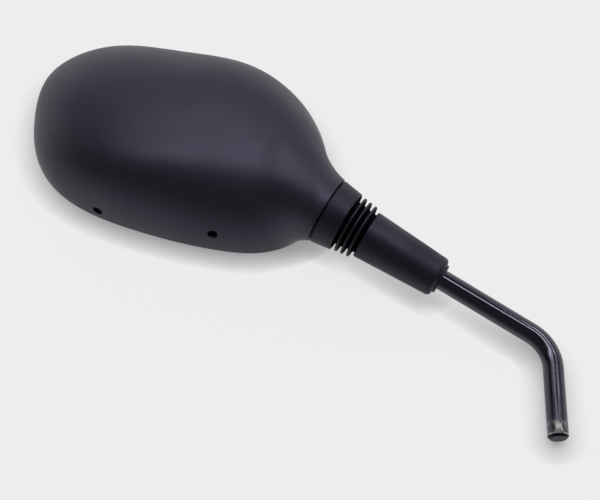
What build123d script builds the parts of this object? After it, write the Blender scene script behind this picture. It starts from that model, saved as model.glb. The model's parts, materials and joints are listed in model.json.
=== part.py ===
from build123d import *
import os
from math import cos, radians, sin, sqrt

# Motorcycle mirror for the rider's right, in millimetres.
# The origin is on the stem's axis where its foot reaches full diameter. +Z runs up the straight foot,
# +X points outboard to the head and +Y forward, so the glass faces back along -Y.

# Stem: a round rod with one bend, turned down at its upper end to carry the ball
ROD_D = 10.0
FOOT_RISE = 45.2
FOOT_CHAMFER = 1.0
BEND_RADIUS = 20.0
ARM_LEAN = 59.3
ARM_YAW = 8.6
ARM_LENGTH = 120.8
SHANK_D = 8.0
SHANK_LENGTH = 7.0
TENON_D = 6.0
RIVET_D = 9.0
RIVET_HEIGHT = 1.5

# Ball joint, on the neck's axis; heights along it are counted from the ball's centre into the head
BALL_D = 18.0
BALL_FLAT_D = 9.6
LINER_WALL = 1.4
LINER_FRONT_END = 5.8
LINER_BACK_END = 7.4
LINER_SPLIT = 3.2
CUP_LIP = 4.0
CUP_FLOOR = 2.2
SPRING_HEIGHT = 6.4
SPRING_WIRE_D = 1.6
SPRING_COIL_D = 15.0
SPRING_TURNS = 2.5
SPRING_GRIND = 0.24
WASHER_T = 1.2
WASHER_BORE_D = 9.0
CIRCLIP_T = 1.2
CIRCLIP_WIDTH = 2.4
CIRCLIP_SEAT = 0.9
CIRCLIP_OPENING = 45.0

# Neck and its rubber boot
NECK_RING_D = 34.0
NECK_FACE = 3.8
NECK_BLEND = 30.0
SPIGOT_D = 26.0
SPIGOT_LENGTH = 10.3
NECK_BORE_D = 21.4
NECK_WALL = 4.0
NECK_TUBE_D = 26.4
NECK_TUBE_END = 2.0
BOOT_GAP = 0.8
COLLAR_TOP_D = 33.4
COLLAR_D = 30.4
BELLOWS_LENGTH = 11.2
BELLOWS_RIDGES = 3
RIDGE_T = 1.1
RIDGE_TOP_D = 29.2
RIDGE_END_D = 26.4
RIDGE_ROUND = 0.4
GROOVE_DEPTH = 3.2
BELLOWS_BORE_D = 18.4
CONE_LENGTH = 42.0
CONE_D = 24.2
CONE_TIP_D = 19.7
CONE_TIP_ROUND = 2.3
TIP_RING_D = 14.6
TIP_RING_LENGTH = 1.2

# Head: the rim's outline seen from the front, x inboard and y up, counted from the ball's centre,
# with how much the wall above each point is filled out towards the neck
RIM = [
    (-150.5, 59.6, 0.0),
    (-133.4, 20.4, 0.0),
    (-94.9, 1.0, 0.0),
    (-55.9, -9.2, 0.05),
    (-30.9, -9.9, 0.35),
    (-9.9, 2.0, 0.7),
    (-1.4, 30.3, 0.65),
    (-10.8, 64.0, 0.35),
    (-37.3, 90.0, 0.12),
    (-75.9, 101.0, 0.0),
    (-117.0, 104.4, 0.0),
    (-142.6, 91.0, 0.0),
]
CROWN = (-62.0, 37.0)
CROWN_TWIST = 20.0
RIM_SETBACK = 20.5
HEAD_DEPTH = 38.5
BOWL_FULLNESS = 2.8
WALL_DRAFT = 1.8
BOWL_SECTIONS = 8
WALL = 2.6
RIM_WALL = 2.4
RIM_ROUND = 0.8
LEDGE = 1.8
DRAIN_D = 5.0
DRAIN_DEPTH = 14.0
DRAIN_PULL = 72.0
DRAINS = [(-115.1, 9.4, 6.1), (-58.1, -6.4, 12.0)]

# The neck's flare: each section's height along the axis, offset upwards, half width and half height
FLARE = [
    (9.0, 1.0, 17.6, 16.9),
    (20.0, 5.0, 20.5, 15.6),
    (34.0, 12.0, 26.0, 13.8),
    (48.0, 16.0, 24.0, 6.0),
]

# Glass and what holds it
GLASS_RADIUS = 1400.0
GLASS_CENTRE = (-75.0, 48.0)
GLASS_T = 1.9
GLASS_CROWN = 0.4
PAD_T = 0.6
PAD_INSET = 1.0
PLATE_EDGE = 6.2
GASKET_T = 1.8
GASKET_LIP = 1.3
GASKET_SETBACK = 0.5
BOSS_SPACING = (76.0, 48.0)
BOSS_D = 7.2
SCREW_D = 3.0
SCREW_LENGTH = 12.0
SCREW_HEAD_D = 5.6
SCREW_HEAD_T = 1.5
SCREW_SINK = 0.5

# Fits, each on the radius or between two faces
BALL_FIT = 0.08
SLIDE_FIT = 0.1
BOOT_FIT = 0.25
ROD_FIT = 0.05
PLATE_FIT = 0.2

# Heights along the neck's axis that several pieces share
ball_r = BALL_D / 2
ball_flat = sqrt(ball_r**2 - (BALL_FLAT_D / 2) ** 2)
liner_in = ball_r + BALL_FIT
liner_out = liner_in + LINER_WALL
socket_r = liner_out + BALL_FIT
bore_r = NECK_BORE_D / 2
cup_back = socket_r + CUP_FLOOR
spring_back = cup_back + SPRING_HEIGHT
washer_back = spring_back + WASHER_T
circlip_back = washer_back + CIRCLIP_T
groove_r = bore_r + CIRCLIP_SEAT
tube_end = circlip_back + NECK_TUBE_END
shoulder = -ball_flat - SHANK_LENGTH
spigot_end = NECK_FACE - SPIGOT_LENGTH
collar_end = spigot_end - BOOT_GAP
bellows_end = collar_end - BELLOWS_LENGTH
boot_end = bellows_end - CONE_LENGTH

# Directions and work planes
arm = Vector(
    sin(radians(ARM_LEAN)) * cos(radians(ARM_YAW)),
    sin(radians(ARM_LEAN)) * sin(radians(ARM_YAW)),
    cos(radians(ARM_LEAN)),
)
bend = Vector(0, 0, FOOT_RISE)
ball_centre = bend + arm * ARM_LENGTH
neck = Plane(origin=ball_centre, x_dir=arm.cross(Vector(0, 1, 0)), z_dir=arm)
head = Plane(origin=ball_centre - Vector(0, RIM_SETBACK, 0), x_dir=(-1, 0, 0), z_dir=(0, 1, 0))


def turned(points):
    """A solid turned about the local Z axis from a closed profile of (radius, height) points."""
    profile = make_face(Polyline(*[(r, 0, z) for r, z in points], close=True))
    return revolve(profile, axis=Axis.Z)


def tube(outer_r, inner_r, low, high):
    """A plain ring about the local Z axis between two heights."""
    return turned([(inner_r, low), (outer_r, low), (outer_r, high), (inner_r, high)])


def rod_along(radius, low, high):
    """A round bar about the local Z axis between two heights."""
    return Pos(0, 0, low) * Cylinder(radius, high - low, align=(Align.CENTER, Align.CENTER, Align.MIN))


def shell_zone(inner_r, outer_r, low, high):
    """The part of a ball-shaped shell between two heights."""
    return (Sphere(outer_r) - Sphere(inner_r)) & rod_along(2 * outer_r, low, high)


def stem_rod():
    """The bent rod with its turned shank, tenon and riveted end."""
    path = FilletPolyline(
        (0, 0, -FOOT_CHAMFER), bend, ball_centre + arm * shoulder, radius=BEND_RADIUS
    )
    bar = sweep(Plane.XY.offset(-FOOT_CHAMFER) * Circle(ROD_D / 2), path=path)
    foot = bar.faces().sort_by(Axis.Z)[0]
    bar = chamfer(foot.edges(), FOOT_CHAMFER)
    shank = rod_along(SHANK_D / 2, shoulder, -ball_flat)
    tenon = rod_along(TENON_D / 2, -ball_flat, ball_flat - RIVET_HEIGHT)
    rivet = rod_along(RIVET_D / 2 - ROD_FIT, ball_flat - RIVET_HEIGHT, ball_flat)
    return bar + neck * (shank + tenon + rivet)


def ball():
    """The ball, flat at both poles, bored for the tenon and recessed for its riveted end."""
    zone = Sphere(ball_r) & rod_along(BALL_D, -ball_flat, ball_flat)
    bore = rod_along(TENON_D / 2 + ROD_FIT, -BALL_D, BALL_D)
    recess = rod_along(RIVET_D / 2, ball_flat - RIVET_HEIGHT, BALL_D)
    return neck * (zone - bore - recess)


def pressure_cup():
    """The sliding cup that presses the back liner onto the ball."""
    blank = rod_along(bore_r - SLIDE_FIT, CUP_LIP, cup_back)
    return neck * (blank - Sphere(socket_r))


def friction_spring():
    """The coil spring behind the cup, with both ends ground flat."""
    first_turn = cup_back + SPRING_WIRE_D / 2 - SPRING_GRIND
    coil_height = SPRING_HEIGHT - SPRING_WIRE_D + 2 * SPRING_GRIND
    coil = Helix(coil_height / SPRING_TURNS, coil_height, SPRING_COIL_D / 2)
    section = Plane(origin=coil @ 0, z_dir=coil % 0) * Circle(SPRING_WIRE_D / 2)
    wire = Pos(0, 0, first_turn) * sweep(section, path=coil, is_frenet=True)
    return neck * (wire & rod_along(SPRING_COIL_D, cup_back, spring_back))


def circlip():
    """The snap ring in its groove, open on one side."""
    outer = groove_r - SLIDE_FIT
    ring = tube(outer, outer - CIRCLIP_WIDTH, washer_back, circlip_back)
    reach = 2 * outer
    half = radians(CIRCLIP_OPENING / 2)
    wedge = make_face(
        Polyline((0, 0), (reach, -reach * sin(half)), (reach, reach * sin(half)), close=True)
    )
    return neck * (ring - Pos(0, 0, washer_back) * extrude(wedge, CIRCLIP_T))


def boot():
    """The rubber boot: collar over the spigot, bellows, and a cone that grips the rod."""
    outer = [(COLLAR_TOP_D / 2, NECK_FACE - BOOT_GAP), (COLLAR_D / 2, collar_end)]
    groove = (BELLOWS_LENGTH - BELLOWS_RIDGES * RIDGE_T) / (BELLOWS_RIDGES + 1)
    taper = (RIDGE_TOP_D - RIDGE_END_D) / 2 / BELLOWS_LENGTH
    for ridge in range(BELLOWS_RIDGES):
        high = collar_end - ridge * (groove + RIDGE_T)
        crest = RIDGE_TOP_D / 2 - taper * (collar_end - high)
        outer += [(crest - GROOVE_DEPTH, high), (crest - GROOVE_DEPTH, high - groove)]
        outer += [(crest, high - groove), (crest, high - groove - RIDGE_T)]
    root = RIDGE_END_D / 2 - GROOVE_DEPTH
    outer += [(root, bellows_end + groove), (root, bellows_end), (CONE_D / 2, bellows_end)]
    ring_top = boot_end + TIP_RING_LENGTH
    outer += [(CONE_TIP_D / 2, ring_top), (TIP_RING_D / 2, ring_top), (TIP_RING_D / 2, boot_end)]
    grip_r = ROD_D / 2 + ROD_FIT
    inner = [
        (grip_r, boot_end),
        (grip_r, bellows_end - groove),
        (BELLOWS_BORE_D / 2, bellows_end + BOOT_GAP),
        (BELLOWS_BORE_D / 2, collar_end),
        (SPIGOT_D / 2 + BOOT_FIT, collar_end),
        (SPIGOT_D / 2 + BOOT_FIT, NECK_FACE - BOOT_GAP),
    ]
    blank = turned(outer + inner)
    bellows = blank.edges().filter_by_position(Axis.Z, bellows_end + RIDGE_T, collar_end - RIDGE_T)
    crests = [edge for edge in bellows.filter_by(GeomType.CIRCLE) if edge.radius > CONE_D / 2]
    blank = fillet(crests, RIDGE_ROUND)
    tip = blank.edges().filter_by_position(Axis.Z, ring_top, ring_top).sort_by(SortBy.RADIUS)[-1]
    return neck * fillet(tip, CONE_TIP_ROUND)


def rim_face(share=1.0, inset=0.0):
    """The rim's outline drawn in to the crown by an inset and a share, turning as it shrinks."""
    crown = Vector(*CROWN)
    points = []
    for x, y, filled in RIM:
        arm_out = Vector(x, y) - crown
        arm_out = arm_out * share ** (1 - filled * share) * (1 - inset / arm_out.length)
        points.append(crown + arm_out.rotate(Axis.Z, CROWN_TWIST * (1 - share)))
    return make_face(Spline(*points, periodic=True))


def rim_block(inset, low, high):
    """A straight block on the rim's outline between two heights above the rim."""
    return Pos(0, 0, low) * extrude(rim_face(inset=inset), high - low)


def dome(inset, depth):
    """The housing's bowl, full at the wall and flat at the crown."""
    sections = []
    for step in range(BOWL_SECTIONS):
        share = cos(radians(90 * step / BOWL_SECTIONS))
        height = depth * (1 - share**BOWL_FULLNESS) ** (1 / WALL_DRAFT)
        sections.append(Pos(0, 0, height) * rim_face(share, inset))
    return loft(sections + [Vertex(CROWN[0], CROWN[1], depth)])


def flare_sections(inset=0.0):
    """The sections of the neck's flare, all drawn in by an inset."""
    return [
        neck.offset(w) * Pos(offset, 0) * Ellipse(width - inset, height - inset)
        for w, offset, width, height in FLARE
    ]


def neck_flare():
    """The neck's outer form, from its ring into the bowl."""
    ring = neck.offset(NECK_FACE) * Circle(NECK_RING_D / 2)
    return loft([ring] + flare_sections())


def boss_places():
    """The four screw places about the glass's centre."""
    return [
        Pos(*GLASS_CENTRE) * Pos(side * BOSS_SPACING[0] / 2, rise * BOSS_SPACING[1] / 2)
        for side in (-1, 1)
        for rise in (-1, 1)
    ]


def drain(place):
    """One drain hole through the lower wall."""
    inward = Vector(cos(radians(DRAIN_PULL)), sin(radians(DRAIN_PULL)), 0)
    return Plane(origin=place, z_dir=inward) * rod_along(DRAIN_D / 2, -DRAIN_DEPTH / 2, DRAIN_DEPTH / 2)


def housing():
    """The moulded housing with its neck, socket, screw bosses and drain holes."""
    bowl = head * dome(0, HEAD_DEPTH)
    flare = neck_flare()
    outside = bowl + flare
    seam = new_edges(bowl, flare, combined=outside)
    outside = fillet(seam, NECK_BLEND)
    hollow = head * dome(RIM_WALL + LEDGE, HEAD_DEPTH - WALL)
    hollow += loft(flare_sections(NECK_WALL)[1:-1])
    recess = head * rim_block(RIM_WALL, -PLATE_EDGE, PLATE_EDGE)
    bosses = Part() + [
        place * rod_along(BOSS_D / 2, PLATE_EDGE, HEAD_DEPTH) for place in boss_places()
    ]
    pilots = Part() + [
        place * rod_along(SCREW_D / 2 + ROD_FIT, 0, PLATE_EDGE + SCREW_LENGTH)
        for place in boss_places()
    ]
    shell = outside - hollow - recess + (head * bosses & bowl)
    spigot = rod_along(SPIGOT_D / 2, spigot_end, NECK_FACE)
    shell += neck * (spigot + rod_along(NECK_TUBE_D / 2, NECK_FACE, tube_end))
    joint_room = Sphere(socket_r) + rod_along(bore_r, 0, tube_end)
    joint_room += rod_along(groove_r, washer_back, circlip_back)
    shell = shell - neck * joint_room - head * pilots
    for place in DRAINS:
        shell -= head * drain(place)
    rim_edges = shell.edges().group_by(Axis.Y)[0]
    return fillet(rim_edges.sort_by(SortBy.LENGTH)[-1], RIM_ROUND)


def glass_side(outer_t, inner_t, inset):
    """A layer of the glass's curved sandwich between two depths behind its face."""
    centre = Pos(*GLASS_CENTRE, GLASS_CROWN + GLASS_RADIUS)
    block = rim_block(inset, 0, PLATE_EDGE)
    layer = block & centre * Sphere(GLASS_RADIUS - outer_t)
    if inner_t:
        layer -= centre * Sphere(GLASS_RADIUS - inner_t)
    return layer


def mirror_glass():
    """The convex glass."""
    return head * glass_side(0, GLASS_T, RIM_WALL + GASKET_T)


def glass_pad():
    """The foam sheet between the glass and its plate."""
    return head * glass_side(GLASS_T, GLASS_T + PAD_T, RIM_WALL + GASKET_T + PAD_INSET)


def screw_top():
    """The depth of the screw heads' tops, sunk below the plate's curved face."""
    reach = sqrt(BOSS_SPACING[0] ** 2 + BOSS_SPACING[1] ** 2) / 2
    face = GLASS_CROWN + GLASS_T + PAD_T + reach**2 / (2 * GLASS_RADIUS)
    return face + SCREW_SINK


def screw_blank(slack=0.0):
    """A countersunk screw, or with slack its clearance hole."""
    top = screw_top()
    head_r = SCREW_HEAD_D / 2 + slack
    body_r = SCREW_D / 2 + slack
    return turned(
        [
            (0, top),
            (head_r, top),
            (body_r, top + SCREW_HEAD_T),
            (body_r, top + SCREW_LENGTH),
            (0, top + SCREW_LENGTH),
        ]
    )


def carrier_plate():
    """The plate that closes the housing and backs the pad, with its countersunk holes."""
    plate = glass_side(GLASS_T + PAD_T, 0, RIM_WALL + PLATE_FIT)
    for place in boss_places():
        plate -= place * screw_blank(ROD_FIT)
        plate -= place * rod_along(SCREW_HEAD_D / 2 + ROD_FIT, 0, screw_top())
    return head * plate


def carrier_screws():
    """The four screws that hold the plate."""
    return head * (Part() + [place * screw_blank() for place in boss_places()])


def rim_gasket():
    """The rubber edge between the rim and the glass, lipped over the glass."""
    ring = rim_block(RIM_WALL + PLATE_FIT, GASKET_SETBACK, PLATE_EDGE)
    ring -= rim_block(RIM_WALL + GASKET_T + GASKET_LIP, 0, PLATE_EDGE)
    centre = Pos(*GLASS_CENTRE, GLASS_CROWN + GLASS_RADIUS)
    ring -= centre * Sphere(GLASS_RADIUS - GLASS_T - PAD_T)
    ring -= rim_block(RIM_WALL + GASKET_T, 0, PLATE_EDGE) & centre * Sphere(GLASS_RADIUS)
    return head * ring


NODES = {
    "stem_rod": stem_rod,
    "ball": ball,
    "front_liner": lambda: neck * shell_zone(liner_in, liner_out, -LINER_FRONT_END, -LINER_SPLIT / 2),
    "back_liner": lambda: neck * shell_zone(liner_in, liner_out, LINER_SPLIT / 2, LINER_BACK_END),
    "pressure_cup": pressure_cup,
    "friction_spring": friction_spring,
    "spring_washer": lambda: neck * tube(bore_r - SLIDE_FIT, WASHER_BORE_D / 2, spring_back, washer_back),
    "circlip": circlip,
    "boot": boot,
    "housing": housing,
    "carrier_plate": carrier_plate,
    "carrier_screws": carrier_screws,
    "glass_pad": glass_pad,
    "mirror_glass": mirror_glass,
    "rim_gasket": rim_gasket,
}

os.makedirs("parts", exist_ok=True)
for name, make in NODES.items():
    export_step(make(), f"parts/{name}.step")
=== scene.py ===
"""Dresses the motorcycle mirror: its finishes, its rubber boot, the studio and the camera.

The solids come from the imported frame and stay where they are. Lengths are metres unless a name ends
in _mm. The mirror's own frame has +Z up the stem's foot, +X outboard and +Y forward, so the glass
faces back along -Y, and the camera looks at the housing's front from below the foot.
"""

from __future__ import annotations

import json
import logging
import math
from dataclasses import dataclass
from enum import Enum

import bmesh
import bpy
from mathutils import Matrix, Vector

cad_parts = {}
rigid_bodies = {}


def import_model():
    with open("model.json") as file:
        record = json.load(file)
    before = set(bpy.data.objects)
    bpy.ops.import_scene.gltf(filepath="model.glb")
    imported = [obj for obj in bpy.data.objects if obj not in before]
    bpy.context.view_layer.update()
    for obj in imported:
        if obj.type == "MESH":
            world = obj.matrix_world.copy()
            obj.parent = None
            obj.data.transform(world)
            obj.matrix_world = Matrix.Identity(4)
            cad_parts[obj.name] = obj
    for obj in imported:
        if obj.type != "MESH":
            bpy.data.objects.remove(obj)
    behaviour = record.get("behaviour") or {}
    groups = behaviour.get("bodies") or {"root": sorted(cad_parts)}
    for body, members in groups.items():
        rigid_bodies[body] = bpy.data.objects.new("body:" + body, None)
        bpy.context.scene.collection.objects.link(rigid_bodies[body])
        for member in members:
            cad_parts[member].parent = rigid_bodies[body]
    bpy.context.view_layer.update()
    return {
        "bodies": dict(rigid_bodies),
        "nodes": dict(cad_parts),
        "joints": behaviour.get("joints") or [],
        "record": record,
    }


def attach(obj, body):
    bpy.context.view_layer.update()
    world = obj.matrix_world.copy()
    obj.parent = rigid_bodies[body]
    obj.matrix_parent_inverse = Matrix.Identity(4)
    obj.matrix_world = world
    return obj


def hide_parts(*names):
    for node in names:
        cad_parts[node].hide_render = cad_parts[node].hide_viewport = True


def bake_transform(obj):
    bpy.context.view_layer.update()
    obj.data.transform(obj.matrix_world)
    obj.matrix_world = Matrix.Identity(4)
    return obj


LOG = logging.getLogger("mirror")
MM = 0.001
MERGE_REACH = 0.001 * MM
FULL_TURN_DEG = 360.0
WHITE = (1.0, 1.0, 1.0, 1.0)
Colour = tuple[float, float, float]
Span = tuple[float, float]
Place = tuple[float, float, float]
Socket = bpy.types.NodeSocket


class Body(Enum):
    """The moving bodies, from the fixed stem outwards."""

    STEM = "stem"
    FRONT_SHELL = "front_shell"
    BACK_SHELL = "back_shell"
    HEAD = "head"


class Slot(Enum):
    """Two of the record's material slots, by name."""

    BOOT_RUBBER = "boot_rubber"
    MIRROR = "mirror"


def opaque(colour: Colour, factor: float = 1.0) -> tuple[float, float, float, float]:
    """Gives a colour with full alpha, lighter or darker by a factor."""
    return (*(channel * factor for channel in colour), 1.0)


class NodeCanvas:
    """Adds nodes to one tree and joins them."""

    def __init__(self, tree: bpy.types.NodeTree) -> None:
        """Takes over a tree and empties it."""
        self.tree = tree
        self.tree.nodes.clear()

    def add(self, kind: str, inputs: dict | None = None, **settings: object) -> bpy.types.Node:
        """Adds one node.

        Args:
            kind: The node's Blender type.
            inputs: Values or sockets for the node's inputs, by name or index.
            settings: The node's own properties.

        Returns:
            The new node.
        """
        node = self.tree.nodes.new(kind)
        for name, value in settings.items():
            setattr(node, name, value)
        for name, value in (inputs or {}).items():
            self.feed(node.inputs[name], value)
        return node

    def feed(self, socket: Socket, value: object) -> None:
        """Joins a socket to another one, or sets its value.

        Args:
            socket: The input to fill.
            value: The output that feeds it, or a plain value.
        """
        if isinstance(value, Socket):
            self.tree.links.new(value, socket)
        else:
            socket.default_value = value

    def where(self) -> Socket:
        """Gives the piece's own coordinates."""
        return self.add("ShaderNodeTexCoord").outputs["Object"]

    def math(self, operation: str, first: object, second: object = 0.0) -> Socket:
        """Adds one Math node and returns its result."""
        node = self.add("ShaderNodeMath", {0: first, 1: second}, operation=operation)
        return node.outputs[0]

    def scale(self, size: Socket) -> Socket:
        """Turns the size of a texture's features into its scale."""
        return self.math("DIVIDE", 1.0, size)

    def ramp(self, value: Socket, low: float, high: float) -> Socket:
        """Maps a value smoothly onto 0 to 1.

        Args:
            value: The value to map.
            low: Where the result is 0.
            high: Where the result is 1, above or below low.

        Returns:
            The mapped value.
        """
        spans = {"Value": value, "From Min": low, "From Max": high}
        node = self.add("ShaderNodeMapRange", spans, interpolation_type="SMOOTHSTEP")
        return node.outputs["Result"]

    def span(self, value: Socket, low: float, high: float) -> Socket:
        """Maps a value from 0 to 1 onto a range."""
        spans = {"Value": value, "To Min": low, "To Max": high}
        return self.add("ShaderNodeMapRange", spans).outputs["Result"]

    def blend(self, share: object, first: object, second: object) -> Socket:
        """Mixes two colours and returns the result."""
        node = self.add("ShaderNodeMix", {0: share, 6: first, 7: second}, data_type="RGBA")
        return node.outputs[2]

    def noise(self, where: Socket, size: float, detail: float = 2.0, **more: float) -> Socket:
        """Adds a noise texture whose features are about one size across."""
        inputs = {"Vector": where, "Scale": 1.0 / size, "Detail": detail, **more}
        return self.add("ShaderNodeTexNoise", inputs).outputs["Fac"]


class SurfaceGroup:
    """A shader node group that several finishes share, built once."""

    title: str = ""
    inputs: dict[str, float] = {}
    outputs: tuple[str, ...] = ()

    def tree(self) -> bpy.types.NodeTree:
        """Finds the group, or builds it at its first use.

        Returns:
            The group's node tree.
        """
        found = bpy.data.node_groups.get(self.title)
        if found:
            return found
        group = bpy.data.node_groups.new(self.title, "ShaderNodeTree")
        for name, value in self.inputs.items():
            socket = group.interface.new_socket(name, in_out="INPUT", socket_type="NodeSocketFloat")
            socket.default_value = value
        for name in self.outputs:
            group.interface.new_socket(name, in_out="OUTPUT", socket_type="NodeSocketFloat")
        canvas = NodeCanvas(group)
        given = canvas.add("NodeGroupInput").outputs
        results = self.wire(canvas, given)
        canvas.add("NodeGroupOutput", results)
        return group

    def wire(self, canvas: NodeCanvas, given: bpy.types.NodeOutputs) -> dict[str, Socket]:
        """Lays the group's own nodes.

        Args:
            canvas: The group's tree.
            given: The group's inputs.

        Returns:
            The socket for each output.
        """
        raise NotImplementedError

    def place(self, canvas: NodeCanvas, **values: float) -> bpy.types.NodeOutputs:
        """Places the group in a material with its own values.

        Args:
            canvas: The material's tree.
            values: The group's inputs, by name.

        Returns:
            The placed group's outputs.
        """
        node = canvas.add("ShaderNodeGroup", node_tree=self.tree())
        for name, value in values.items():
            node.inputs[name].default_value = value
        return node.outputs


class MouldGrain(SurfaceGroup):
    """The fine leathery grain that an etched mould leaves, with slow changes of tone."""

    title = "mould_grain"
    inputs = {"Grain Size": 0.4 * MM, "Patch Size": 22.0 * MM}
    outputs = ("Height", "Tone")
    fine_detail: float = 3.0
    slow_detail: float = 4.0
    tone_span: Span = (0.3, 0.7)

    def wire(self, canvas: NodeCanvas, given: bpy.types.NodeOutputs) -> dict[str, Socket]:
        """Lays a cell grain over a fine noise, and a slow noise for the tone.

        Args:
            canvas: The group's tree.
            given: The sizes of the grain and of the patches.

        Returns:
            The grain's height and the patches' tone.
        """
        where = canvas.where()
        grain_scale = canvas.scale(given["Grain Size"])
        patch_scale = canvas.scale(given["Patch Size"])
        cells = canvas.add(
            "ShaderNodeTexVoronoi",
            {"Vector": where, "Scale": grain_scale, "Randomness": 1.0},
            feature="SMOOTH_F1",
        )
        fine = canvas.add(
            "ShaderNodeTexNoise",
            {"Vector": where, "Scale": grain_scale, "Detail": self.fine_detail},
        )
        slow = canvas.add(
            "ShaderNodeTexNoise",
            {"Vector": where, "Scale": patch_scale, "Detail": self.slow_detail},
        )
        height = canvas.math("ADD", cells.outputs["Distance"], fine.outputs["Fac"])
        return {"Height": height, "Tone": canvas.ramp(slow.outputs["Fac"], *self.tone_span)}


class DustSpecks(SurfaceGroup):
    """Sparse pale specks of dust and lint."""

    title = "dust_specks"
    inputs = {"Speck Spacing": 2.6 * MM, "Speck Share": 0.16}
    outputs = ("Mask",)
    edge_to_core: Span = (0.09, 0.04)

    def wire(self, canvas: NodeCanvas, given: bpy.types.NodeOutputs) -> dict[str, Socket]:
        """Keeps the middles of a few scattered cells.

        Args:
            canvas: The group's tree.
            given: The cells' spacing and the share of them that hold a speck.

        Returns:
            The specks' mask.
        """
        scale = canvas.scale(given["Speck Spacing"])
        cells = canvas.add("ShaderNodeTexVoronoi", {"Vector": canvas.where(), "Scale": scale})
        pick = canvas.add("ShaderNodeSeparateColor", {"Color": cells.outputs["Color"]})
        chosen = canvas.math("LESS_THAN", pick.outputs[0], given["Speck Share"])
        middle = canvas.ramp(cells.outputs["Distance"], *self.edge_to_core)
        return {"Mask": canvas.math("MULTIPLY", chosen, middle)}


class HairScratches(SurfaceGroup):
    """Fine scratches and rub marks that cross at shallow angles."""

    title = "hair_scratches"
    inputs = {"Scratch Size": 1.2 * MM}
    outputs = ("Mask",)
    turns_and_stretches: tuple[Span, ...] = ((0.3, 14.0), (-0.5, 9.0))
    lean: float = 0.4
    roll: float = 0.2
    line_detail: float = 1.0
    ridge_span: Span = (0.64, 0.74)

    def wire(self, canvas: NodeCanvas, given: bpy.types.NodeOutputs) -> dict[str, Socket]:
        """Stretches noise along two directions and keeps its thin ridges.

        Args:
            canvas: The group's tree.
            given: The scratches' size.

        Returns:
            The scratches' mask.
        """
        where = canvas.where()
        scale = canvas.scale(given["Scratch Size"])
        total = None
        for turn, stretch in self.turns_and_stretches:
            turned = {"Rotation": (self.lean, turn, self.roll), "Scale": (stretch, 1.0, 1.0)}
            mapping = canvas.add("ShaderNodeMapping", {"Vector": where, **turned})
            lines = canvas.add(
                "ShaderNodeTexNoise",
                {"Vector": mapping.outputs[0], "Scale": scale, "Detail": self.line_detail},
            )
            ridge = canvas.ramp(lines.outputs["Fac"], *self.ridge_span)
            total = ridge if total is None else canvas.math("MAXIMUM", total, ridge)
        return {"Mask": total}


@dataclass(frozen=True)
class Finish:
    """What every finish has: a name, a colour and a gloss."""

    name: str
    colour: Colour
    roughness: float

    def material(self) -> bpy.types.Material:
        """Finds the material, or builds it at its first use.

        Returns:
            The finish's material.
        """
        found = bpy.data.materials.get(self.name)
        if found:
            return found
        material = bpy.data.materials.new(self.name)
        material.use_nodes = True
        material.diffuse_color = opaque(self.colour)
        canvas = NodeCanvas(material.node_tree)
        shader = canvas.add("ShaderNodeBsdfPrincipled")
        self.wire(canvas, shader)
        canvas.add("ShaderNodeOutputMaterial", {"Surface": self.surface(canvas, shader)})
        return material

    def wire(self, canvas: NodeCanvas, shader: bpy.types.Node) -> None:
        """Joins the finish's own nodes to the shader.

        Args:
            canvas: The material's tree.
            shader: Its Principled BSDF.
        """
        raise NotImplementedError

    def surface(self, canvas: NodeCanvas, shader: bpy.types.Node) -> Socket:
        """Gives what the material shows, which is the shader alone."""
        return shader.outputs[0]

    def bump(self, canvas: NodeCanvas, shader: bpy.types.Node, height: Socket, depth: float) -> None:
        """Feeds a height into the shader's normal at a depth in metres."""
        node = canvas.add("ShaderNodeBump", {"Height": height, "Distance": depth})
        canvas.feed(shader.inputs["Normal"], node.outputs["Normal"])


@dataclass(frozen=True)
class MouldedFinish(Finish):
    """Moulded plastic, rubber or foam with grain, slow tone changes and a little dust."""

    grain_size: float
    grain_depth: float
    tone_change: float = 0.18
    gloss_change: float = 0.06
    dust: float = 0.0
    dust_colour: Colour = (0.30, 0.30, 0.33)
    specular: float = 0.5
    # Painted light: the studio light's colour laid on the reflections, bluish on the housing and the
    # boot.
    painted_light_tint: Colour = (1.0, 1.0, 1.0)

    def wire(self, canvas: NodeCanvas, shader: bpy.types.Node) -> None:
        """Lays grain, tone and dust.

        Args:
            canvas: The material's tree.
            shader: Its Principled BSDF.
        """
        grain = MouldGrain().place(canvas, **{"Grain Size": self.grain_size})
        specks = DustSpecks().place(canvas)["Mask"]
        low = opaque(self.colour, 1.0 - self.tone_change)
        high = opaque(self.colour, 1.0 + self.tone_change)
        plain = canvas.blend(grain["Tone"], low, high)
        dusty = canvas.math("MULTIPLY", specks, self.dust)
        colour = canvas.blend(dusty, plain, opaque(self.dust_colour))
        canvas.feed(shader.inputs["Base Color"], colour)
        dull = self.roughness + self.gloss_change
        bright = self.roughness - self.gloss_change
        canvas.feed(shader.inputs["Roughness"], canvas.span(grain["Tone"], dull, bright))
        shader.inputs["Specular IOR Level"].default_value = self.specular
        # painted light: the reflections take the light's tint
        shader.inputs["Specular Tint"].default_value = opaque(self.painted_light_tint)
        self.bump(canvas, shader, grain["Height"], self.grain_depth)


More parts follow.
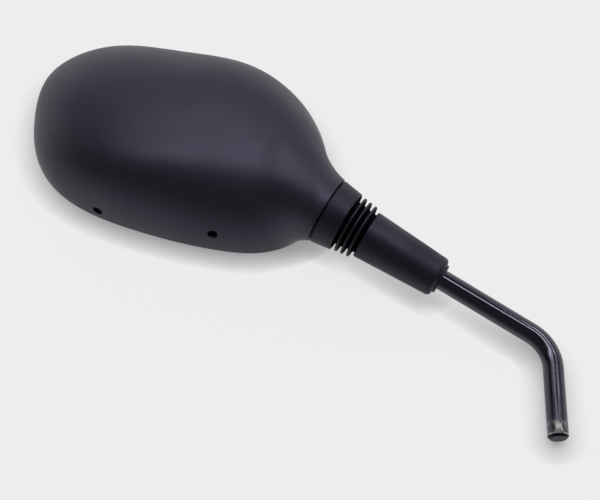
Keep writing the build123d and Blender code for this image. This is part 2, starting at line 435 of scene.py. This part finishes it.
@dataclass(frozen=True)
class StemPaint(Finish):
    """Gloss black paint on steel, rubbed bare where a clamp gripped the foot."""

    bare_colour: Colour = (0.21, 0.20, 0.20)
    bare_tones: Span = (0.6, 1.4)
    bare_roughness: float = 0.34
    bare_gloss_change: Span = (-0.1, 0.14)
    edge_colour: Colour = (0.62, 0.61, 0.60)
    edge_width: float = 0.75 * MM
    edge_fade: float = 0.8
    face_depth: float = 0.12 * MM
    face_fade: float = 2.0
    worn_length: float = 6.8 * MM
    worn_fray: float = 2.0 * MM
    fray_gain: float = 5.0
    border: float = 0.15 * MM
    scratch_reach: Span = (2.2, 0.6)
    chip_size: float = 1.1 * MM
    chip_detail: float = 5.0
    chip_middle: float = 0.5
    patch_chips: float = 2.0
    mottle_chips: float = 0.5
    patch_detail: float = 4.0
    left_over_span: Span = (0.43, 0.57)
    left_over_least: float = 0.08
    paint_gloss_change: Span = (-0.03, 0.05)
    ripple_size: float = 9.0 * MM
    ripple_detail: float = 3.0
    ripple_depth: float = 0.02 * MM
    paint_step: float = 1.5
    scuffed_length: float = 50.0 * MM
    scuff_fade: float = 0.7
    scuff_width: float = 0.7 * MM
    scuff_span: Span = (0.40, 0.62)
    scuff_roughness: float = 0.22
    specular: float = 0.7
    face_specular: float = 0.16
    # Painted light: the studio light's bluish cast laid on the paint's reflections.
    painted_light_tint: Colour = (1.0, 0.97, 1.26)

    def wire(self, canvas: NodeCanvas, shader: bpy.types.Node) -> None:
        """Mixes paint and bare steel by the height above the foot's end.

        Args:
            canvas: The material's tree.
            shader: Its Principled BSDF.
        """
        where = canvas.where()
        rise = canvas.add("ShaderNodeSeparateXYZ", {"Vector": where}).outputs["Z"]
        above_face = canvas.ramp(rise, self.face_depth, self.face_fade * self.face_depth)
        bare = canvas.math("MULTIPLY", self.worn(canvas, where, rise), above_face)
        mottled = canvas.noise(where, self.mottle_chips * self.chip_size, self.patch_detail)
        steel = self.steel(canvas, rise, mottled)
        canvas.feed(shader.inputs["Base Color"], canvas.blend(bare, opaque(self.colour), steel))
        canvas.feed(shader.inputs["Metallic"], bare)
        least, most = self.bare_gloss_change
        dull = canvas.span(mottled, self.bare_roughness + least, self.bare_roughness + most)
        painted = self.paint_roughness(canvas, where, rise)
        gloss = canvas.add("ShaderNodeMix", {0: bare, 2: painted, 3: dull}, data_type="FLOAT")
        canvas.feed(shader.inputs["Roughness"], gloss.outputs[0])
        level = canvas.span(above_face, self.face_specular, self.specular)
        canvas.feed(shader.inputs["Specular IOR Level"], level)
        # painted light: the reflections take the light's bluish tint
        shader.inputs["Specular Tint"].default_value = opaque(self.painted_light_tint)
        ripple = canvas.noise(where, self.ripple_size, self.ripple_detail)
        step = canvas.math("SUBTRACT", ripple, canvas.math("MULTIPLY", bare, self.paint_step))
        self.bump(canvas, shader, step, self.ripple_depth)

    def worn(self, canvas: NodeCanvas, where: Socket, rise: Socket) -> Socket:
        """Masks the bare band with its frayed border, scratches and left-over paint.

        Args:
            canvas: The material's tree.
            where: The rod's own coordinates.
            rise: The height above the foot's end.

        Returns:
            The mask, 1 on bare steel.
        """
        chips = canvas.noise(where, self.chip_size, self.chip_detail)
        swing = self.fray_gain * self.worn_fray
        fray = canvas.math("MULTIPLY", canvas.math("SUBTRACT", chips, self.chip_middle), swing)
        edge = canvas.math("ADD", rise, fray)
        band = canvas.ramp(edge, self.worn_length + self.border, self.worn_length - self.border)
        scratches = HairScratches().place(canvas)["Mask"]
        far, near = (share * self.worn_length for share in self.scratch_reach)
        scratched = canvas.math("MULTIPLY", scratches, canvas.ramp(rise, far, near))
        bare = canvas.math("MAXIMUM", band, scratched)
        patches = canvas.noise(where, self.patch_chips * self.chip_size, self.patch_detail)
        rubbed = canvas.ramp(patches, *self.left_over_span)
        return canvas.math("MULTIPLY", bare, canvas.span(rubbed, self.left_over_least, 1.0))

    def steel(self, canvas: NodeCanvas, rise: Socket, mottled: Socket) -> Socket:
        """Colours the bare steel, lighter along the foot's edge.

        Args:
            canvas: The material's tree.
            rise: The height above the foot's end.
            mottled: A fine noise over the steel.

        Returns:
            The steel's colour.
        """
        low, high = (opaque(self.bare_colour, tone) for tone in self.bare_tones)
        at_edge = canvas.ramp(rise, self.edge_width, self.edge_fade * self.edge_width)
        return canvas.blend(at_edge, canvas.blend(mottled, low, high), opaque(self.edge_colour))

    def paint_roughness(self, canvas: NodeCanvas, where: Socket, rise: Socket) -> Socket:
        """Varies the paint's gloss slowly and dulls lengthwise scuffs on the foot.

        Args:
            canvas: The material's tree.
            where: The rod's own coordinates.
            rise: The height above the foot's end.

        Returns:
            The paint's roughness.
        """
        stretch = (1.0, 1.0, self.scuff_width / self.scuffed_length)
        streaks = canvas.add("ShaderNodeMapping", {"Vector": where, "Scale": stretch}).outputs[0]
        rubbed = canvas.ramp(canvas.noise(streaks, self.scuff_width), *self.scuff_span)
        on_foot = canvas.ramp(rise, self.scuffed_length, self.scuff_fade * self.scuffed_length)
        scuffs = canvas.span(canvas.math("MULTIPLY", rubbed, on_foot), 0.0, self.scuff_roughness)
        smooth = canvas.noise(where, self.ripple_size)
        least, most = self.paint_gloss_change
        plain = canvas.span(smooth, self.roughness + least, self.roughness + most)
        return canvas.math("ADD", plain, scuffs)


@dataclass(frozen=True)
class PlatedSteel(Finish):
    """Zinc-plated steel with fine turning marks and dull patches."""

    mark_size: float = 0.25 * MM
    mark_depth: float = 0.01 * MM
    patch_size: float = 5.0 * MM
    tones: Span = (0.82, 1.08)
    scratch_tone: float = 1.25
    gloss_change: Span = (0.1, -0.06)

    def wire(self, canvas: NodeCanvas, shader: bpy.types.Node) -> None:
        """Lays marks and patches over a metal.

        Args:
            canvas: The material's tree.
            shader: Its Principled BSDF.
        """
        sizes = {"Grain Size": self.mark_size, "Patch Size": self.patch_size}
        grain = MouldGrain().place(canvas, **sizes)
        scratches = HairScratches().place(canvas, **{"Scratch Size": self.mark_size})["Mask"]
        low, high = (opaque(self.colour, tone) for tone in self.tones)
        tone = canvas.blend(grain["Tone"], low, high)
        scratched = canvas.blend(scratches, tone, opaque(self.colour, self.scratch_tone))
        canvas.feed(shader.inputs["Base Color"], scratched)
        dull, bright = (self.roughness + change for change in self.gloss_change)
        canvas.feed(shader.inputs["Roughness"], canvas.span(grain["Tone"], dull, bright))
        shader.inputs["Metallic"].default_value = 1.0
        self.bump(canvas, shader, grain["Height"], self.mark_depth)


@dataclass(frozen=True)
class SilveredGlass(Finish):
    """Mirror glass with a trace of dust and wiping marks."""

    smear_size: float = 30.0 * MM
    smear_detail: float = 6.0
    smear_warp: float = 1.4
    smear_span: Span = (0.45, 0.75)
    smear: float = 0.03
    speck_spacing: float = 6.0 * MM
    speck_share: float = 0.1
    speck_strength: float = 0.25
    speck_colour: Colour = (0.5, 0.5, 0.48)

    def wire(self, canvas: NodeCanvas, shader: bpy.types.Node) -> None:
        """Lays wiping marks in the gloss and dust in the colour.

        Args:
            canvas: The material's tree.
            shader: Its Principled BSDF.
        """
        where = canvas.where()
        clouds = canvas.noise(
            where, self.smear_size, self.smear_detail, Distortion=self.smear_warp
        )
        smears = canvas.ramp(clouds, *self.smear_span)
        spread = {"Speck Spacing": self.speck_spacing, "Speck Share": self.speck_share}
        specks = DustSpecks().place(canvas, **spread)["Mask"]
        wiped = canvas.span(smears, self.roughness, self.roughness + self.smear)
        canvas.feed(shader.inputs["Roughness"], canvas.math("ADD", wiped, specks))
        faint = canvas.math("MULTIPLY", specks, self.speck_strength)
        dusty = canvas.blend(faint, opaque(self.colour), opaque(self.speck_colour))
        canvas.feed(shader.inputs["Base Color"], dusty)
        shader.inputs["Metallic"].default_value = 1.0


HOUSING_PLASTIC = MouldedFinish(
    "housing_satin_black",
    colour=(0.0066, 0.0063, 0.0106),
    roughness=0.46,
    grain_size=0.42 * MM,
    grain_depth=0.02 * MM,
    tone_change=0.06,
    gloss_change=0.02,
    dust=0.35,
    # painted light: bluish cast of the studio light on the reflections
    painted_light_tint=(0.98, 0.95, 1.36),
)
CARRIER_PLASTIC = MouldedFinish(
    "carrier_black",
    colour=(0.020, 0.020, 0.021),
    roughness=0.5,
    grain_size=0.6 * MM,
    grain_depth=0.02 * MM,
)
BOOT_RUBBER = MouldedFinish(
    "boot_rubber_black",
    colour=(0.0038, 0.0036, 0.0062),
    roughness=0.50,
    grain_size=0.3 * MM,
    grain_depth=0.02 * MM,
    dust=0.5,
    specular=0.36,
    # painted light: bluish cast of the studio light on the reflections
    painted_light_tint=(0.98, 0.95, 1.45),
)
# Painted shade: a darker, nearly unreflective rubber laid where the boot lies in shade, in the
# bellows' grooves and on the collar's end face against the neck.
GROOVE_PAINTED_SHADE = MouldedFinish(
    "boot_groove_painted_shade",
    colour=(0.0016, 0.0016, 0.0026),
    roughness=0.9,
    grain_size=0.3 * MM,
    grain_depth=0.02 * MM,
    specular=0.04,
)
GASKET_RUBBER = MouldedFinish(
    "gasket_rubber_black",
    colour=(0.014, 0.014, 0.016),
    roughness=0.6,
    grain_size=0.35 * MM,
    grain_depth=0.02 * MM,
)
NYLON = MouldedFinish(
    "natural_nylon",
    colour=(0.70, 0.69, 0.63),
    roughness=0.42,
    grain_size=0.5 * MM,
    grain_depth=0.01 * MM,
)
FOAM = MouldedFinish(
    "closed_cell_foam",
    colour=(0.045, 0.045, 0.047),
    roughness=0.85,
    grain_size=0.7 * MM,
    grain_depth=0.12 * MM,
)
STEM_PAINT = StemPaint("stem_gloss_black", colour=(0.0010, 0.0010, 0.0044), roughness=0.09)
PLATED_STEEL = PlatedSteel("zinc_plated_steel", colour=(0.60, 0.60, 0.62), roughness=0.32)
MIRROR_GLASS = SilveredGlass("silvered_glass", colour=(0.90, 0.915, 0.925), roughness=0.012)


def dress(frame: dict, node: str, finish: Finish) -> None:
    """Gives a solid from the frame its finish.

    Args:
        frame: The loaded frame.
        node: The solid's name.
        finish: The finish it takes.
    """
    mesh = frame["nodes"][node].data
    mesh.materials.clear()
    mesh.materials.append(finish.material())
    LOG.info("%s dressed in %s", node, finish.name)


def link(name: str, bm: bmesh.types.BMesh, finish: Finish) -> bpy.types.Object:
    """Makes an object in the scene from a finished bmesh.

    Args:
        name: The piece's name.
        bm: Its mesh, in place; it is freed.
        finish: The finish it takes.

    Returns:
        The new object, at the origin.
    """
    mesh = bpy.data.meshes.new(name)
    bm.to_mesh(mesh)
    bm.free()
    mesh.materials.append(finish.material())
    piece = bpy.data.objects.new(name, mesh)
    bpy.context.scene.collection.objects.link(piece)
    LOG.info("%s built with %d faces", name, len(mesh.polygons))
    return piece


@dataclass
class Stem:
    """The bent rod that stands in the clamp."""

    frame: dict

    def dress(self) -> None:
        """Paints the rod."""
        dress(self.frame, "stem_rod", STEM_PAINT)


@dataclass
class BallJoint:
    """The ball, its nylon shells and the sprung stack behind them."""

    frame: dict
    steel: tuple[str, ...] = ("ball", "friction_spring", "spring_washer", "circlip")
    nylon: tuple[str, ...] = ("front_liner", "back_liner", "pressure_cup")

    def dress(self) -> None:
        """Plates the steel and leaves the nylon natural."""
        for node in self.steel:
            dress(self.frame, node, PLATED_STEEL)
        for node in self.nylon:
            dress(self.frame, node, NYLON)


@dataclass
class MirrorHead:
    """The housing, and the glass with what holds it."""

    frame: dict
    glass_radius: float = 1400.0 * MM
    shown_slant: float = -0.9

    def dress(self) -> None:
        """Gives the head's solids their finishes."""
        dress(self.frame, "housing", HOUSING_PLASTIC)
        dress(self.frame, "carrier_plate", CARRIER_PLASTIC)
        dress(self.frame, "carrier_screws", PLATED_STEEL)
        dress(self.frame, "glass_pad", FOAM)
        dress(self.frame, "rim_gasket", GASKET_RUBBER)

    def build(self) -> None:
        """Stands a merged copy of the glass in its solid's place and trues it."""
        bm = bmesh.new()
        bm.from_mesh(self.frame["nodes"]["mirror_glass"].data)
        bmesh.ops.remove_doubles(bm, verts=bm.verts, dist=MERGE_REACH)
        for face in bm.faces:
            face.smooth = True
        glass = link("convex_glass", bm, MIRROR_GLASS)
        self.true_normals(glass.data)
        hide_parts("mirror_glass")
        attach(glass, Body.HEAD.value)

    def true_normals(self, mesh: bpy.types.Mesh) -> None:
        """Sets the shown face's normals from its sphere, so that its pole reflects cleanly.

        Args:
            mesh: The copy of the glass.
        """
        pole = min((vert.co for vert in mesh.vertices), key=lambda spot: spot.y)
        centre = pole + Vector((0.0, self.glass_radius, 0.0))
        normals = [Vector()] * len(mesh.loops)
        for face in mesh.polygons:
            shown = face.normal.y <= self.shown_slant
            for corner in face.loop_indices:
                spot = mesh.vertices[mesh.loops[corner].vertex_index].co
                normals[corner] = (spot - centre).normalized() if shown else face.normal.copy()
        mesh.normals_split_custom_set(normals)


@dataclass(frozen=True)
class Corner:
    """A corner of a turned profile: its radius, its height along the axis and its rounding."""

    radius: float
    height: float
    rounding: float = 0.0


@dataclass
class Boot:
    """The rubber boot, in two halves that meet in a groove.

    Heights run along the neck's axis from the ball's centre, up towards the head.
    """

    frame: dict
    top: float = 3.0 * MM
    collar_top_r: float = 16.7 * MM
    collar_r: float = 15.2 * MM
    collar_end: float = -7.3 * MM
    spigot_bore_r: float = 13.25 * MM
    bellows_length: float = 11.2 * MM
    ridges: int = 3
    upper_ridges: int = 2
    ridge_t: float = 1.1 * MM
    ridge_top_r: float = 14.6 * MM
    ridge_end_r: float = 13.2 * MM
    groove_depth: float = 3.2 * MM
    groove_shade: float = 0.55 * MM
    bellows_bore_r: float = 9.2 * MM
    cone_length: float = 42.0 * MM
    cone_r: float = 12.1 * MM
    cone_tip_r: float = 9.85 * MM
    tip_ring_r: float = 7.3 * MM
    tip_ring_length: float = 1.2 * MM
    grip_r: float = 5.05 * MM
    grip_start: float = 6.0 * MM
    bend_reach: float = 4.0 * MM
    bend_rings: int = 4
    crest_round: float = 0.45 * MM
    edge_round: float = 0.6 * MM
    seam_share: float = 0.7
    tip_round: float = 2.3 * MM
    steps: int = 128
    round_segments: int = 4
    ring_reach: float = 0.01 * MM
    sharp_angle_deg: float = 60.0

    def __post_init__(self) -> None:
        """Works out the heights that the two halves share."""
        twist = next(joint for joint in self.frame["joints"] if joint["name"] == "neck_twist")
        self.axis = Vector(twist["axis"]).normalized()
        self.centre = Vector(twist["pos_m"])
        self.groove = (self.bellows_length - self.ridges * self.ridge_t) / (self.ridges + 1)
        self.bellows_end = self.collar_end - self.bellows_length
        self.end = self.bellows_end - self.cone_length
        self.pitch = self.groove + self.ridge_t
        self.split = self.collar_end - self.upper_ridges * self.pitch - self.groove / 2

    def along(self, height: float) -> Vector:
        """Gives the point on the axis at a height from the ball's centre."""
        return self.centre + self.axis * height

    def crest_at(self, share: float) -> float:
        """Gives the ridges' outer radius at a share of the bellows' length from the collar."""
        return self.ridge_top_r + (self.ridge_end_r - self.ridge_top_r) * share

    def crest(self, ridge: int) -> float:
        """Gives a ridge's outer radius, counted from the collar."""
        return self.crest_at(ridge * self.pitch / self.bellows_length)

    def root(self, ridge: int) -> float:
        """Gives the radius of the grooves beside a ridge."""
        return self.crest(ridge) - self.groove_depth

    def ridge_corners(self, ridge: int) -> list[Corner]:
        """Gives the corners of one ridge, from its upper root to its lower root.

        Args:
            ridge: The ridge, counted from the collar.

        Returns:
            Its four corners.
        """
        high = self.collar_end - ridge * self.pitch - self.groove
        low = high - self.ridge_t
        spots = (
            (self.root(ridge), high),
            (self.crest(ridge), high),
            (self.crest(ridge), low),
            (self.root(ridge), low),
        )
        return [Corner(radius, height, self.crest_round) for radius, height in spots]

    def upper_profile(self) -> list[Corner]:
        """Gives the collar's half: collar, two ridges and the split in the third groove.

        Returns:
            The corners in order, outside first.
        """
        corners = [
            Corner(self.collar_top_r, self.top, self.edge_round),
            Corner(self.collar_r, self.collar_end, self.edge_round),
            Corner(self.root(0), self.collar_end, self.crest_round),
        ]
        for ridge in range(self.upper_ridges):
            corners += self.ridge_corners(ridge)
        return corners + [
            Corner(self.root(self.upper_ridges), self.split),
            Corner(self.bellows_bore_r, self.split),
            Corner(self.bellows_bore_r, self.collar_end),
            Corner(self.spigot_bore_r, self.collar_end),
            Corner(self.spigot_bore_r, self.top),
        ]

    def lower_profile(self) -> list[Corner]:
        """Gives the stem's half: the last ridge, the cone and its tip on the rod.

        Returns:
            The corners in order, outside first.
        """
        ring_top = self.end + self.tip_ring_length
        slope = (self.cone_r - self.cone_tip_r) / (self.bellows_end - ring_top)
        corners = [Corner(self.root(self.upper_ridges), self.split)]
        for ridge in range(self.upper_ridges, self.ridges):
            corners += self.ridge_corners(ridge)
        corners += [
            Corner(self.root(self.ridges), self.bellows_end, self.crest_round),
            Corner(self.cone_r, self.bellows_end, self.edge_round),
        ]
        for ring in range(1, self.bend_rings + 1):
            drop = self.bend_reach * (ring / self.bend_rings)
            corners.append(Corner(self.cone_r - slope * drop, self.bellows_end - drop))
        return corners + [
            Corner(self.cone_tip_r, ring_top, self.tip_round),
            Corner(self.tip_ring_r, ring_top, self.crest_round),
            Corner(self.tip_ring_r, self.end, self.crest_round),
            Corner(self.grip_r, self.end),
            Corner(self.grip_r, self.bellows_end - self.grip_start),
            Corner(self.bellows_bore_r, self.bellows_end),
            Corner(self.bellows_bore_r, self.split),
        ]

    def turned(self, profile: list[Corner]) -> bmesh.types.BMesh:
        """Spins a closed profile about the neck's axis and rounds its corners.

        Args:
            profile: The corners in order, outside first.

        Returns:
            The mesh, in place.
        """
        bm = bmesh.new()
        points = [bm.verts.new((corner.radius, 0.0, corner.height)) for corner in profile]
        sides = [bm.edges.new(pair) for pair in zip(points, points[1:] + points[:1])]
        bmesh.ops.spin(
            bm,
            geom=points + sides,
            cent=(0.0, 0.0, 0.0),
            axis=(0.0, 0.0, 1.0),
            angle=math.tau,
            steps=self.steps,
            use_merge=True,
        )
        bmesh.ops.remove_doubles(bm, verts=bm.verts, dist=MERGE_REACH)
        bmesh.ops.recalc_face_normals(bm, faces=bm.faces)
        for rounding in sorted({corner.rounding for corner in profile if corner.rounding}):
            rings = [corner for corner in profile if corner.rounding == rounding]
            self.round_rings(bm, rings, rounding)
        turn = self.axis.to_track_quat("Z", "Y").to_matrix().to_4x4()
        bmesh.ops.transform(bm, matrix=Matrix.Translation(self.centre) @ turn, verts=bm.verts)
        for face in bm.faces:
            face.smooth = True
        return bm

    def round_rings(self, bm: bmesh.types.BMesh, rings: list[Corner], rounding: float) -> None:
        """Bevels the edge rings at some corners.

        Args:
            bm: The spun mesh, still about its own axis.
            rings: The corners to round.
            rounding: The bevel's width.
        """
        chosen = []
        for edge in bm.edges:
            spots = [(vert.co.xy.length, vert.co.z) for vert in edge.verts]
            for ring in rings:
                corner = (ring.radius, ring.height)
                if all(math.dist(spot, corner) < self.ring_reach for spot in spots):
                    chosen.append(edge)
        bmesh.ops.bevel(
            bm,
            geom=chosen,
            offset=rounding,
            offset_type="OFFSET",
            affect="EDGES",
            segments=self.round_segments,
            profile=0.5,
            material=-1,
            clamp_overlap=True,
        )

    def paint_groove_shade(self, piece: bpy.types.Object) -> None:
        """Paints shade into the bellows' grooves and onto the collar's end face against the neck, as
        a darker, nearly unreflective rubber.

        Args:
            piece: One half of the boot.
        """
        piece.data.materials.append(GROOVE_PAINTED_SHADE.material())
        lowest = self.bellows_end - self.edge_round
        highest = self.collar_end + self.edge_round
        seam = self.top - self.seam_share * self.edge_round
        for face in piece.data.polygons:
            height = (face.center - self.centre).dot(self.axis)
            radius = (face.center - self.along(height)).length
            crest = self.crest_at((self.collar_end - height) / self.bellows_length)
            in_groove = lowest < height < highest and radius < crest - self.groove_shade
            if height > seam or in_groove:
                face.material_index = 1

    def build(self) -> None:
        """Puts both halves in the solid's place."""
        upper = link("boot_collar", self.turned(self.upper_profile()), BOOT_RUBBER)
        lower = link("boot_cone", self.turned(self.lower_profile()), BOOT_RUBBER)
        for piece in (upper, lower):
            # painted shade in the grooves and on the collar's end face
            self.paint_groove_shade(piece)
            piece.data.set_sharp_from_angle(angle=math.radians(self.sharp_angle_deg))
            even = piece.modifiers.new("even_normals", "WEIGHTED_NORMAL")
            even.keep_sharp = True
            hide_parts("boot")
        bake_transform(lower)
        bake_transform(upper)


@dataclass(frozen=True)
class StageFinish(Finish):
    """A plain pale surface that shows only its front side and fades out with distance."""

    glow: float
    middle: Place
    # Painted shadow: the glow dims where ambient occlusion within this reach, leaning lightward,
    # meets the mirror.
    painted_shadow_reach: float = 11.5 * MM
    lightward: Place = (-0.06, 0.33, 0.94)
    fade_start: float = 0.40
    fade_end: float = 0.95

    def wire(self, canvas: NodeCanvas, shader: bpy.types.Node) -> None:
        """Sets a matt colour and a glow, dimmed close to the mirror by ambient occlusion that leans
        lightward: a painted shadow under the mirror.

        Args:
            canvas: The material's tree.
            shader: Its Principled BSDF.
        """
        shader.inputs["Base Color"].default_value = opaque(self.colour)
        shader.inputs["Roughness"].default_value = self.roughness
        shader.inputs["Specular IOR Level"].default_value = 0.0
        shader.inputs["Emission Color"].default_value = WHITE
        light = canvas.add("ShaderNodeCombineXYZ", dict(enumerate(self.lightward)))
        # painted shadow: ambient occlusion dims the glow near the mirror
        near = canvas.add(
            "ShaderNodeAmbientOcclusion", {"Distance": self.painted_shadow_reach, "Normal": light.outputs[0]}
        )
        glow_with_painted_shadow = canvas.math("MULTIPLY", near.outputs["AO"], self.glow)
        canvas.feed(shader.inputs["Emission Strength"], glow_with_painted_shadow)

    def surface(self, canvas: NodeCanvas, shader: bpy.types.Node) -> Socket:
        """Lets the back side and the far parts through.

        Args:
            canvas: The material's tree.
            shader: Its Principled BSDF.

        Returns:
            The mixed surface.
        """
        behind = canvas.add("ShaderNodeBsdfTransparent")
        side = canvas.add("ShaderNodeNewGeometry").outputs["Backfacing"]
        spots = {0: canvas.where(), 1: self.middle}
        reach = canvas.add("ShaderNodeVectorMath", spots, operation="DISTANCE")
        far = canvas.ramp(reach.outputs["Value"], self.fade_start, self.fade_end)
        clear = canvas.math("MAXIMUM", side, far)
        layers = {0: clear, 1: shader.outputs[0], 2: behind.outputs[0]}
        return canvas.add("ShaderNodeMixShader", layers).outputs[0]


@dataclass(frozen=True)
class Softbox:
    """A soft rectangular lamp aimed at the mirror."""

    name: str
    direction: Place
    size: Span
    watts: float
    distance: float = 2.4

    def build(self, target: Vector) -> None:
        """Hangs the lamp.

        Args:
            target: The point that it faces.
        """
        lamp = bpy.data.lights.new(self.name, "AREA")
        lamp.shape = "RECTANGLE"
        lamp.size, lamp.size_y = self.size
        lamp.energy = self.watts
        holder = bpy.data.objects.new(self.name, lamp)
        towards = Vector(self.direction).normalized()
        holder.location = target + towards * self.distance
        holder.rotation_euler = towards.to_track_quat("Z", "Y").to_euler()
        bpy.context.scene.collection.objects.link(holder)


@dataclass
class Studio:
    """The pale table behind the glass, the floor, the light and the camera.

    The sky gives the studio's brightness by the angle in degrees about the X axis, from +Y up.
    """

    table_back: float = 5.0 * MM
    floor_drop: float = 1.2 * MM
    stage_size: float = 6.0
    table_shade: float = 0.10
    # the table's glow, which its painted shadow dims near the mirror
    table_glow: float = 0.782
    floor_shade: float = 0.84
    floor_glow: float = 0.04
    stage_roughness: float = 1.0
    backdrop: float = 0.847
    lens_mm: float = 98.3
    sensor_mm: float = 36.0
    clip_near: float = 0.01
    clip_far: float = 20.0
    camera_place: Place = (0.1186, 0.7140, -0.2528)
    camera_aim: Place = (0.1186, -0.005, 0.0979)
    softboxes: tuple[Softbox, ...] = (
        Softbox("strip_softbox", (-0.12, 0.97, 0.19), (3.0, 0.36), 23.0),
        Softbox("window_softbox", (0.16, 0.87, 0.46), (1.2, 0.42), 1.4),
        Softbox("window_edge", (0.0, 0.88, 0.47), (0.12, 0.7), 3.8),
        Softbox("side_softbox", (-0.56, 0.70, 0.44), (0.14, 0.6), 4.2),
    )
    sky: tuple[Span, ...] = (
        (-180.0, 0.70),
        (-168.0, 0.50),
        (-128.0, 0.90),
        (-98.0, 0.48),
        (-70.0, 0.16),
        (-45.0, 0.14),
        (-26.0, 0.17),
        (-8.0, 0.13),
        (10.0, 0.08),
        (20.0, 0.06),
        (28.0, 0.08),
        (40.0, 0.30),
        (60.0, 0.84),
        (95.0, 1.10),
        (125.0, 0.78),
        (165.0, 0.82),
        (180.0, 0.70),
    )
    sky_middle: float = 0.5
    sky_peak: float = 2.0

    def build(self) -> None:
        """Sets the stage, the lamps, the world and the camera."""
        self.build_stage()
        for box in self.softboxes:
            box.build(Vector(self.camera_aim))
        self.build_world()
        self.build_camera()
        bpy.context.scene.view_settings.view_transform = "Standard"

    def stage_finish(self, name: str, shade: float, glow: float) -> StageFinish:
        """Gives one plane of the stage its grey and its glow."""
        return StageFinish(name, (shade,) * 3, self.stage_roughness, glow, self.camera_aim)

    def build_stage(self) -> None:
        """Lays the table that the mirror's rim rests on and a floor under the foot."""
        upright = Matrix.Rotation(-math.pi / 2, 4, "X")
        table_place = Matrix.Translation((0.0, -self.table_back, 0.0)) @ upright
        floor_place = Matrix.Translation((0.0, 0.0, -self.floor_drop))
        table_finish = self.stage_finish("pale_table", self.table_shade, self.table_glow)
        floor_finish = self.stage_finish("pale_floor", self.floor_shade, self.floor_glow)
        planes = (("table", table_place, table_finish), ("floor", floor_place, floor_finish))
        for name, place, finish in planes:
            bm = bmesh.new()
            half = self.stage_size / 2
            bmesh.ops.create_grid(bm, x_segments=1, y_segments=1, size=half, matrix=place)
            plane = link(name, bm, finish)
            plane.visible_diffuse = False
            plane.visible_glossy = False
            plane.visible_transmission = False
            plane.visible_shadow = False

    def build_world(self) -> None:
        """Makes a pale backdrop for the camera and a soft studio for everything else."""
        world = bpy.data.worlds.new("studio")
        world.use_nodes = True
        bpy.context.scene.world = world
        canvas = NodeCanvas(world.node_tree)
        where = canvas.add("ShaderNodeTexCoord").outputs["Generated"]
        way = canvas.add("ShaderNodeSeparateXYZ", {"Vector": where}).outputs
        lean = canvas.math("ARCTAN2", way["Z"], way["Y"])
        share = canvas.math("ADD", canvas.math("DIVIDE", lean, math.tau), self.sky_middle)
        ramp = canvas.add("ShaderNodeValToRGB", {"Fac": share})
        ramp.color_ramp.interpolation = "EASE"
        stops = ramp.color_ramp.elements
        for angle, _ in self.sky[1:-1]:
            stops.new(angle / FULL_TURN_DEG + self.sky_middle)
        for stop, (_, bright) in zip(stops, self.sky):
            stop.color = opaque((bright / self.sky_peak,) * 3)
        glow = canvas.math("MULTIPLY", ramp.outputs["Color"], self.sky_peak)
        studio = canvas.add("ShaderNodeBackground", {"Color": WHITE, "Strength": glow})
        plain = canvas.add("ShaderNodeBackground", {"Color": WHITE, "Strength": self.backdrop})
        seen = canvas.add("ShaderNodeLightPath").outputs["Is Camera Ray"]
        layers = {0: seen, 1: studio.outputs[0], 2: plain.outputs[0]}
        both = canvas.add("ShaderNodeMixShader", layers)
        canvas.add("ShaderNodeOutputWorld", {"Surface": both.outputs[0]})

    def build_camera(self) -> None:
        """Stands the camera where the photograph was taken."""
        lens = bpy.data.cameras.new("camera")
        lens.lens = self.lens_mm
        lens.sensor_width = self.sensor_mm
        lens.clip_start = self.clip_near
        lens.clip_end = self.clip_far
        camera = bpy.data.objects.new("camera", lens)
        camera.location = self.camera_place
        towards = Vector(self.camera_aim) - Vector(self.camera_place)
        camera.rotation_euler = towards.to_track_quat("-Z", "Y").to_euler()
        bpy.context.scene.collection.objects.link(camera)
        bpy.context.scene.camera = camera


def main() -> None:
    """Builds the studio, then dresses and builds the mirror."""
    logging.basicConfig(level=logging.INFO, format="%(name)s: %(message)s")
    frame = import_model()
    Studio().build()
    Stem(frame).dress()
    BallJoint(frame).dress()
    head = MirrorHead(frame)
    head.dress()
    head.build()
    Boot(frame).build()


if __name__ == "__main__":
    main()
